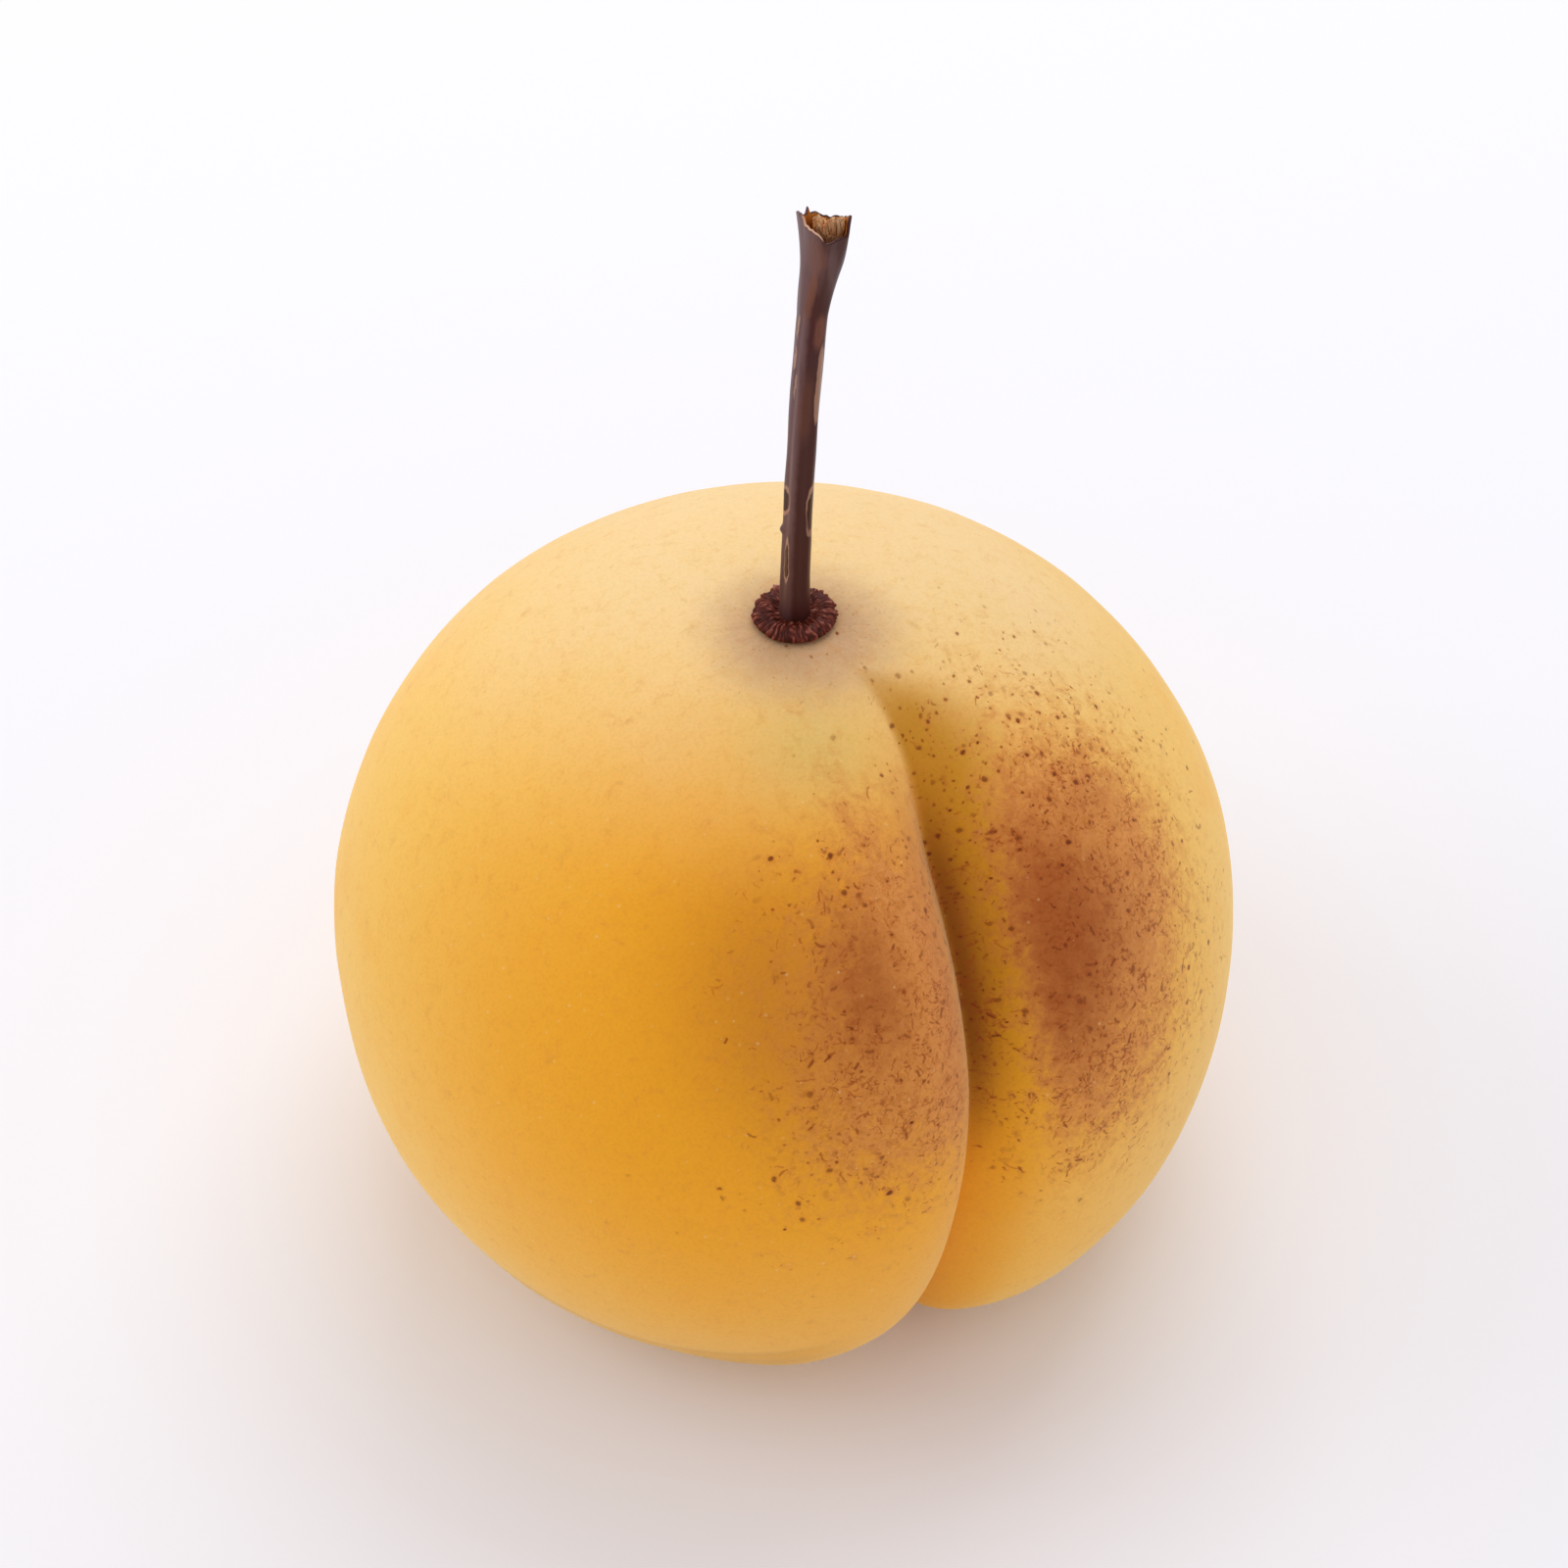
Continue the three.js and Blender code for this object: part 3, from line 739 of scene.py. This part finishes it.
def skin_finish(colours):
    """Velvety skin: gold cheeks, a cream crown, red-brown blush, and dark flecks."""
    finish = Finish("apricot_skin", roughness=0.6, specular_ior_level=0.08,
                    sheen_weight=0.45, sheen_roughness=0.5, sheen_tint=(1, 0.78, 0.46, 1),
                    subsurface_weight=0.12, subsurface_radius=(1.0, 0.45, 0.12),
                    subsurface_scale=1.5 * MM)
    soft_clouds, fine_clouds = finish.clouds(9, 3), finish.clouds(1.1, 4, 0.6)
    mottle = finish.between(finish.clouds(0.9, 5, 0.68, 0.5), -0.5, 0.5)
    beside = finish.step(finish.math("MULTIPLY_ADD", fine_clouds, 2, finish.noted("halo")), 8.5, 3)
    dust = finish.times(beside, finish.step(fine_clouds, 0.35, 0.6), 0.6)
    inside = suture_strip(finish, soft_clouds, mottle)
    pimples, _ = marks(
        finish, finish.shifted(finish.noted("front_map", "Vector"), PIMPLE_SHIFT), *PIMPLES)

    skin = gold_coat(finish, colours, soft_clouds, beside)
    yolk = finish.paint(colours.amber, (colours.honey, finish.noted("low")))
    skin = finish.paint(skin, (yolk, finish.times(inside, 0.88)))
    skin = sun_blush(finish, colours, skin, inside, mottle)
    skin = draw_marks(finish, colours, skin, inside, dust)
    finish.wear("Base Color", finish.paint(
        skin,
        # Painted shade at and below the hem, in the crease colour.
        (colours.crease, finish.times(finish.noted("hem"), 0.42)),
        (GRAIN_SHADE, finish.step(finish.clouds(0.2, 3, 0.6), 0.56, 0.36, 0, 0.3), "MULTIPLY"),
        (PIMPLE_TINT, finish.times(pimples, 0.3, finish.between(inside, 1, 0.15))),
        (WARM_SHADE, finish.step(mottle, -0.12, 0.12, 0, 0.35), "MULTIPLY")))
    fuzz = finish.bump(finish.clouds(0.16, 3, 0.6), 0.02, 0.35)
    finish.wear("Normal", finish.bump(fine_clouds, 0.05, 0.4, fuzz))
    finish.wear("Roughness", finish.step(fine_clouds, 0.2, 0.8, 0.56, 0.66))
    return finish.material


def scar(finish, place, across, up, half_width, half_height):
    """Distance from the middle of an upright oval scar: 1 is its edge."""
    return finish.length(finish.add("Mapping", {
        "Vector": place, "Location": (-across / half_width, -up / half_height, 0),
        "Scale": (1 / half_width, 1 / half_height, 0)}))


def bark_finish(colours):
    """Chocolate bark with a grey worn side, peeled strips and thin tan edges."""
    finish = Finish("apricot_bark", roughness=0.42, specular_ior_level=0.22)
    streaks = finish.clouds(1, 4, 0.6, place=finish.stretched((1.6, 1.6, 0.25)))
    broad = finish.clouds(1, 2, 0.5, place=finish.stretched((0.9, 0.9, 0.14)))
    sway = finish.clouds(1.1, 3, 0.6, output="Color")
    chart = finish.swayed(finish.noted("bark", "Vector"), sway, BARK_SWAY)
    side, height, _ = finish.add("SeparateXYZ", {0: chart}).node.outputs
    worn = finish.math(
        "ADD", finish.step(side, -0.05, -0.4), finish.step(broad, 0.5, 0.68, 0, 0.6), clamp=True)
    worn = finish.times(worn, finish.step(height, 0, 8, 0.35, 0.95))
    coats = [(colours.bark_light, worn)]
    for *oval, strength in WARM_SCARS:
        coats.append((WARM_SCAR, finish.step(scar(finish, chart, *oval), 1.3, 0.5, 0, strength)))
    coats.append((colours.bark, finish.step(streaks, 0.45, 0.75, 0, 0.55)))
    for oval in DARK_SCARS:
        reach = scar(finish, chart, *oval)
        off_rim = finish.math("ABSOLUTE", finish.math("SUBTRACT", reach, 1.1))
        rim = finish.times(
            finish.step(off_rim, 0.22, 0.08), finish.step(streaks, 0.3, 0.5, 0.3, 0.9))
        coats += (DARK_SCAR, finish.step(reach, 1.05, 0.85, 0, 0.85)), (colours.peel, rim)
    for oval in PEELED_SCARS:
        coats.append((colours.peel, finish.step(scar(finish, chart, *oval), 1.1, 0.85, 0, 0.75)))
    coats.append((CRACK_RED, finish.step(scar(finish, chart, *CRACK), 1.4, 0.8)))
    coats.append((CUT_WOOD, finish.times(finish.noted("cut"), 0.9)))
    finish.wear("Base Color", finish.paint(colours.bark, *coats))
    finish.wear("Normal", finish.bump(streaks, 0.06, 0.5))
    return finish.material


def pith_finish(colours):
    """Crumbly golden wood inside the broken end, with painted highlights on the crumbs' tops and
    painted shadow towards the front wall and deep in the cup.
    """
    finish = Finish("apricot_pith", roughness=0.8, specular_ior_level=0.1)
    fibres = finish.clouds(0.12, 3, 0.6, place=finish.stretched((1, 1, 0.3)))
    finish.wear("Base Color", finish.paint(
        PITH_GAPS,
        (colours.pith, finish.step(fibres, 0.3, 0.55)),
        (PITH_FIBRES, finish.step(fibres, 0.56, 0.75, 0, 0.6)),
        (PITH_CORE, finish.step(finish.clouds(0.9, 2), 0.45, 0.65, 0, 0.6)),
        # Painted highlight on the crumbs' tops.
        (PITH_TIP_HIGHLIGHT, finish.times(finish.noted("fresh"), 0.6)),
        (PITH_SHADOW, finish.times(finish.noted("shade"), 0.8)),
        (CUP_WOOD, finish.times(finish.noted("cup"), 0.85)),
        (CUT_WOOD, finish.times(finish.noted("cut"), 0.9))))
    finish.wear("Normal", finish.bump(fibres, 0.05, 0.6))
    return finish.material


def collar_finish(colours):
    """Dark maroon scar tissue, with painted highlights on its crests and painted shade in its
    valleys.
    """
    finish = Finish("apricot_collar", roughness=0.48, specular_ior_level=0.16)
    crest, speckle = finish.noted("crest"), finish.clouds(0.2, 3, 0.6)
    # Painted highlights on the crests, broken up by speckle.
    light = finish.times(finish.step(crest, 0.4, 0.95), finish.step(speckle, 0.38, 0.6))
    finish.wear("Base Color", finish.paint(
        COLLAR_VALLEY_SHADE,
        (colours.collar, finish.step(crest, 0.05, 0.65)),
        (COLLAR_CREST_HIGHLIGHT, light),
        (COLLAR_FRINGE, finish.times(finish.noted("fringe"), 0.7))))
    finish.wear("Normal", finish.bump(speckle, 0.04, 0.6))
    return finish.material


def floor_finish(colours):
    """Matt pale floor."""
    finish = Finish("pale_floor", roughness=0.7, specular_ior_level=0.1)
    finish.wear("Base Color", tuple(colours.floor))
    return finish.material


# The stalk


def stalk_radius(share, sizes):
    """Radius in millimetres at a share of the stalk's length."""
    foot = FOOT_SPREAD * (1 - smoothstep(share, 0, FOOT_SHARE))
    flare = np.clip((share - FLARE_FROM) / (1 - FLARE_FROM), 0, 1) ** FLARE_CURVE
    return sizes.stalk_radius / MM + foot + END_FLARE * flare


def stalk_profile(sizes):
    """Outer wall from the hidden foot up to the rim, then down the cup to its floor."""
    fine_from, cup_floor = STALK_LENGTH * 0.8, STALK_LENGTH - CUP_DEPTH
    heights = np.concatenate([
        np.linspace(-STALK_SINK, fine_from, 150), np.linspace(fine_from, STALK_LENGTH, 60)[1:]])
    wall = [(stalk_radius(max(z, 0) / STALK_LENGTH, sizes), z) for z in heights]
    rim = wall[-1][0]
    edge = rim - CUP_WALL
    lip = [(mix(rim, edge, t), STALK_LENGTH + 0.05 * math.sin(math.pi * t))
           for t in (0.25, 0.5, 0.75, 1)]
    cup = [(edge - CUP_TAPER * k / 12, STALK_LENGTH - CUP_DEPTH * k / 12) for k in range(1, 13)]
    floor = [(cup[-1][0] * (1 - k / 8), cup_floor) for k in range(1, 9)]
    return [(0, -STALK_SINK), *wall, *lip, *cup, *floor]


def add_crumbs(shape, sizes):
    """Packs broken fibres into the right side of the stalk's cup."""
    chance = random.Random(4)
    cup_radius = stalk_radius(1, sizes) - CUP_WALL - CUP_TAPER
    bottom = STALK_LENGTH - CUP_DEPTH - 0.05
    for k in range(CRUMBS):
        radius, turn = cup_radius * math.sqrt((k + 0.5) / CRUMBS), k * GOLDEN_ANGLE
        x, y = radius * math.sin(turn), -radius * math.cos(turn)
        thick = chance.uniform(*CRUMB_RADII)
        top = STALK_LENGTH + CRUMB_TOP + CRUMB_RISE_RIGHT * x + CRUMB_RISE_BACK * y
        top += chance.uniform(*CRUMB_SCATTER)
        lean = Vector((
            x * CRUMB_SPLAY + chance.uniform(*CRUMB_LEANS),
            y * CRUMB_SPLAY + chance.uniform(*CRUMB_LEANS), 1))
        if x < EMPTY_SIDE + chance.uniform(*CRUMB_SCATTER):
            continue
        middle = Vector((x * CRUMB_INSET, y * CRUMB_INSET, (top + bottom) / 2))
        place = Matrix.Translation(middle * MM) @ lean.to_track_quat("Z", "Y").to_matrix().to_4x4()
        bmesh.ops.create_cone(
            shape, cap_ends=True, segments=6, radius1=thick * MM,
            radius2=thick * CRUMB_POINT * MM, depth=(top - bottom) * MM, matrix=place)


def shape_stalk(mesh, sizes):
    """Gives the round stalk its facets, jagged rim and lean, and stands it on the skin."""
    points = points_of(mesh)
    x, y, z = points.T
    from_end = z - STALK_LENGTH
    crumbly = (np.hypot(x, y) < CRUMBLY_RADIUS) & (from_end > -CRUMBLY_DEPTH)
    x = x + CRUMB_LUMPS * lumps(points, CRUMB_LUMP_SIZE, 14) * crumbly
    y = y + CRUMB_LUMPS * lumps(points, CRUMB_LUMP_SIZE, 15) * crumbly
    radius, azimuth = np.hypot(x, y), np.arctan2(x, -y)
    degrees, share = np.degrees(azimuth), z / STALK_LENGTH
    flare = smoothstep(share, FLARE_FROM, 0.92)
    inside = radius < np.array([stalk_radius(max(each, 0), sizes) for each in share]) - 0.01
    cup = inside & (from_end > -CUP_DEPTH - 0.02)

    facets = sum(
        height * np.cos(count * azimuth + start + twist * z)
        for height, count, start, twist in FACETS)
    facets = mix(facets, END_RIDGE * bell(azimuth, END_RIDGE_WIDTH), flare)
    knots = KNOTS * lumps(np.stack([x * 1.2, y * 1.2, z * 0.3], 1), 1, 5)
    bud = bell(azimuth - BUD_TURN, BUD_HALF_SIZE[0]) * bell(z - BUD_HEIGHT, BUD_HALF_SIZE[1])
    radius = radius * (1 + (facets + knots) * smoothstep(share, 0.02, 0.1) + BUD_SWELL * bud)
    ragged = RAGGED_RIM * lumps(
        np.stack([6 * np.sin(azimuth), 6 * np.cos(azimuth), 0 * z], 1), 1, 6)
    jag = np.interp(degrees, *zip(*RIM_HEIGHTS)) + ragged
    height = z + smoothstep(from_end, -RIM_STRETCH, 0) * jag
    bend, turn = mix(share ** 2, share, STRAIGHTNESS), azimuth + STALK_FACE
    kink = KINK * bell(share - KINK_AT, KINK_SPREAD)
    place_points(mesh, np.stack([
        radius * np.sin(turn) + STALK_LEAN[0] * bend + kink + STALK_AT[0],
        -radius * np.cos(turn) + STALK_LEAN[1] * bend + STALK_AT[1],
        height + SEAT_HEIGHT], 1))

    forward = radius * np.cos(azimuth)
    deep = 1 - smoothstep(from_end, -1.3, -0.6)
    on_lip = (from_end > -0.001) & (radius > stalk_radius(1, sizes) - CUP_WALL - 0.1)
    broken = smoothstep(degrees, *CUT_BEGINS) * (1 - smoothstep(degrees, *CUT_ENDS))
    note(
        mesh,
        bark=np.stack([radius * np.sin(azimuth), z, 0 * z], 1),
        cup=1.0 * (cup & (radius > PACKED_RADIUS)),
        # Painted highlight on the crumbs' tops, and painted shadow towards the front wall and deep
        # in the cup.
        fresh=smoothstep(from_end, -0.6, -0.25) * (radius < PACKED_RADIUS),
        shade=np.maximum(smoothstep(forward, 0.1, 0.65), 0.7 * deep),
        cut=(on_lip & inside) * broken)


def paint_cup(mesh, sizes):
    """Gives the faces inside the stalk's cup, and the crumbs, the second finish."""
    rim = stalk_radius(1, sizes) - CUP_WALL * 0.9
    for face in mesh.polygons:
        middle = face.center / MM
        wall = stalk_radius(middle.z / STALK_LENGTH, sizes) - 0.1
        in_cup = middle.z > STALK_LENGTH - CUP_DEPTH - 0.06
        if in_cup and math.hypot(middle.x, middle.y) < min(rim, wall):
            face.material_index = 1


# The collar


def collar_profile(sizes):
    """A rounded ring: up the dished inside, over the crest and down the outer edge to the skin."""
    outer = sizes.collar_radius / MM
    middle, half = (outer + COLLAR_HOLE) / 2, (outer - COLLAR_HOLE) / 2
    turns = [math.pi - math.tau * k / COLLAR_STEPS for k in range(COLLAR_STEPS + 1)]
    return [(middle + half * math.cos(t), COLLAR_HALF_HEIGHT * math.sin(t)) for t in turns]


def billows(points, size, seed):
    """Rounded crests from 0 to about 1, with sharp valleys between them."""
    return np.abs(lumps(points, size, seed)) * 1.8


def shape_collar(mesh, sizes):
    """Wrinkles the ring, dishes it around the stalk and sets it on the skin."""
    points = points_of(mesh)
    x, y, z = points.T
    radius, azimuth = np.hypot(x, y), np.arctan2(x, -y)
    wander = CREST_WANDER * lumps(points, 0.6, 11)
    spokes = np.stack([np.sin(azimuth + wander), np.cos(azimuth + wander), radius * 0.12], 1)
    crest = sum(share * billows(spokes, size, seed) for share, size, seed in CREST_LAYERS)
    knobs = lumps(points, KNOB_SIZE, 9)
    top = smoothstep(z, -0.25, 0.25)
    outer = smoothstep(radius, 1.1, 2.2)
    front = bell(azimuth - STALK_FACE, FRONT_WIDTH)
    calm = mix(1, 0.45, front)
    points[:, 2] += (0.22 * (crest - 0.45) + 0.07 * knobs) * top * calm
    points[:, 2] += (0.2 * front - 0.12) * outer * top
    points[:, 2] -= DISH_DEPTH * bell(radius - DISH_RADIUS, DISH_WIDTH) * top
    grow = 0.96 + (0.09 * (crest - 0.45) + 0.025 * knobs) * outer * calm
    points[:, 0] = x * grow + STALK_AT[0]
    points[:, 1] = y * grow + STALK_AT[1]
    points[:, 2] += COLLAR_LOW.z / MM + COLLAR_LIFT
    place_points(mesh, points)
    note(
        mesh,
        # The crests' painted highlight, weaker on the front.
        crest=(crest + 0.25 * knobs) * mix(1, 0.75, front),
        fringe=outer * (1 - smoothstep(z, -0.25, 0)))


# Operators


class APRICOT_OT_skin(bpy.types.Operator):
    """Model the fruit's skin"""

    bl_idname = "apricot.add_skin"
    bl_label = "Skin"

    def execute(self, context):
        sizes = context.scene.apricot_sizes
        shape = bmesh.new()
        bmesh.ops.create_uvsphere(
            shape, u_segments=sizes.meridians, v_segments=sizes.parallels, radius=1)
        piece = new_piece("apricot_skin", shape, skin_finish(context.scene.apricot_colours))
        shape_skin(piece.data, sizes)
        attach(piece, "root")
        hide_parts("fruit")
        return {"FINISHED"}


class APRICOT_OT_stalk(bpy.types.Operator):
    """Model the woody stalk with its broken end"""

    bl_idname = "apricot.add_stalk"
    bl_label = "Stalk"

    def execute(self, context):
        sizes, colours = context.scene.apricot_sizes, context.scene.apricot_colours
        shape = turned(stalk_profile(sizes), 160)
        add_crumbs(shape, sizes)
        piece = new_piece("apricot_stalk", shape, bark_finish(colours), pith_finish(colours))
        paint_cup(piece.data, sizes)
        shape_stalk(piece.data, sizes)
        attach(piece, "root")
        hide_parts("stalk")
        return {"FINISHED"}


class APRICOT_OT_collar(bpy.types.Operator):
    """Model the wrinkled collar where the stalk leaves the fruit"""

    bl_idname = "apricot.add_collar"
    bl_label = "Collar"

    def execute(self, context):
        sizes = context.scene.apricot_sizes
        shape = turned(collar_profile(sizes), 420)
        piece = new_piece("apricot_collar", shape, collar_finish(context.scene.apricot_colours))
        shape_collar(piece.data, sizes)
        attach(piece, "root")
        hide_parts("stalk_collar")
        return {"FINISHED"}


def point_at(thing, target):
    thing.rotation_euler = (Vector(target) - thing.location).to_track_quat("-Z", "Y").to_euler()


def add_lamp(name, polar, azimuth, size, power):
    """A square lamp that looks at the fruit from these angles, measured from the camera's side."""
    light = bpy.data.lights.new(name, "AREA")
    light.size = size
    light.energy = power
    lamp = bpy.data.objects.new(name, light)
    lamp.location = direction(polar, CAMERA_AZIMUTH + azimuth) * LAMP_DISTANCE
    bpy.context.scene.collection.objects.link(lamp)
    point_at(lamp, (0, 0, FRUIT_HIGH.z / 2))


class APRICOT_OT_stage(bpy.types.Operator):
    """Set up the pale floor, the studio light and the camera"""

    bl_idname = "apricot.add_stage"
    bl_label = "Stage"

    def execute(self, context):
        scene = context.scene
        shape = bmesh.new()
        bmesh.ops.create_grid(shape, x_segments=1, y_segments=1, size=FLOOR_SIZE)
        floor = new_piece("pale_floor", shape, floor_finish(scene.apricot_colours))
        world = bpy.data.worlds.new("studio_sky")
        world.use_nodes = True
        sky = world.node_tree.nodes["Background"].inputs
        sky["Color"].default_value = SKY_COLOUR
        sky["Strength"].default_value = SKY_STRENGTH
        scene.world = world
        for lamp in LAMPS:
            add_lamp(*lamp)

        toward = direction(math.pi / 2 - CAMERA_ELEVATION, CAMERA_AZIMUTH)
        lens = bpy.data.cameras.new("camera")
        lens.lens = CAMERA_LENS
        lens.clip_start = 0.01
        camera = bpy.data.objects.new("camera", lens)
        middle = Vector((0, 0, scene.apricot_sizes.girth_height))
        camera.location = middle + Vector(toward) * CAMERA_DISTANCE
        point_at(camera, (0, 0, CAMERA_AIM))
        scene.collection.objects.link(camera)
        scene.camera = camera
        scene.view_settings.view_transform = "Standard"
        return {"FINISHED"}


class APRICOT_PT_pieces(bpy.types.Panel):
    """Lists the apricot's pieces and their sizes and colours"""

    bl_idname = "APRICOT_PT_pieces"
    bl_label = "Apricot"
    bl_space_type = "VIEW_3D"
    bl_region_type = "UI"
    bl_category = "Apricot"

    def draw(self, context):
        for operator in OPERATORS:
            self.layout.operator(operator.bl_idname)
        for group in (context.scene.apricot_sizes, context.scene.apricot_colours):
            for name in group.__annotations__:
                self.layout.prop(group, name)


OPERATORS = (APRICOT_OT_skin, APRICOT_OT_stalk, APRICOT_OT_collar, APRICOT_OT_stage)
CLASSES = (ApricotSizes, ApricotColours, *OPERATORS, APRICOT_PT_pieces)


def register():
    for each in CLASSES:
        bpy.utils.register_class(each)
    bpy.types.Scene.apricot_sizes = PointerProperty(type=ApricotSizes)
    bpy.types.Scene.apricot_colours = PointerProperty(type=ApricotColours)


def unregister():
    del bpy.types.Scene.apricot_colours
    del bpy.types.Scene.apricot_sizes
    for each in reversed(CLASSES):
        bpy.utils.unregister_class(each)


def main():
    register()
    bpy.ops.apricot.add_skin()
    bpy.ops.apricot.add_stalk()
    bpy.ops.apricot.add_collar()
    bpy.ops.apricot.add_stage()


if __name__ == "__main__":
    main()
